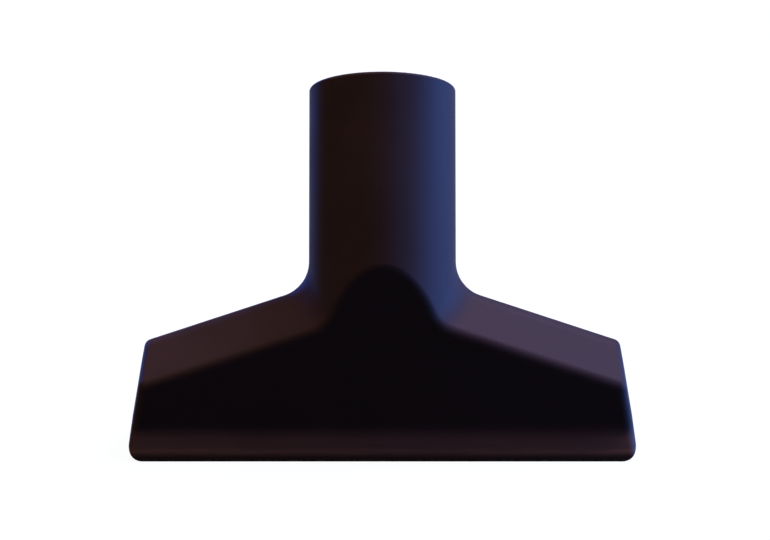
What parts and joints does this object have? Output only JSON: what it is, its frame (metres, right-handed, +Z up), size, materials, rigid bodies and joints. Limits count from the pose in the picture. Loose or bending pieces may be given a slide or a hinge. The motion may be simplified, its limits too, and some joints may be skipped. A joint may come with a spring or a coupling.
{
  "type": "vacuum upholstery nozzle",
  "caption": "One-piece moulded vacuum nozzle for upholstery: a wide slot mouth with a flared lip under sloping shoulders, and a round socket leaning back for the suction tube.",
  "frame": {"origin": "middle of the mouth, in the plane of the lip's underside", "axes": "+X along the mouth's length, -Y the way the flat front face looks, +Z up out of the mouth plane; the socket leans 25 degrees from +Z towards +Y"},
  "size_m": [0.1282, 0.0585, 0.0953],
  "materials": {
    "black_plastic": "satin moulded black plastic"
  },
  "bodies": {
    "root": {"nozzle": "black_plastic"}
  },
  "joints": []
}
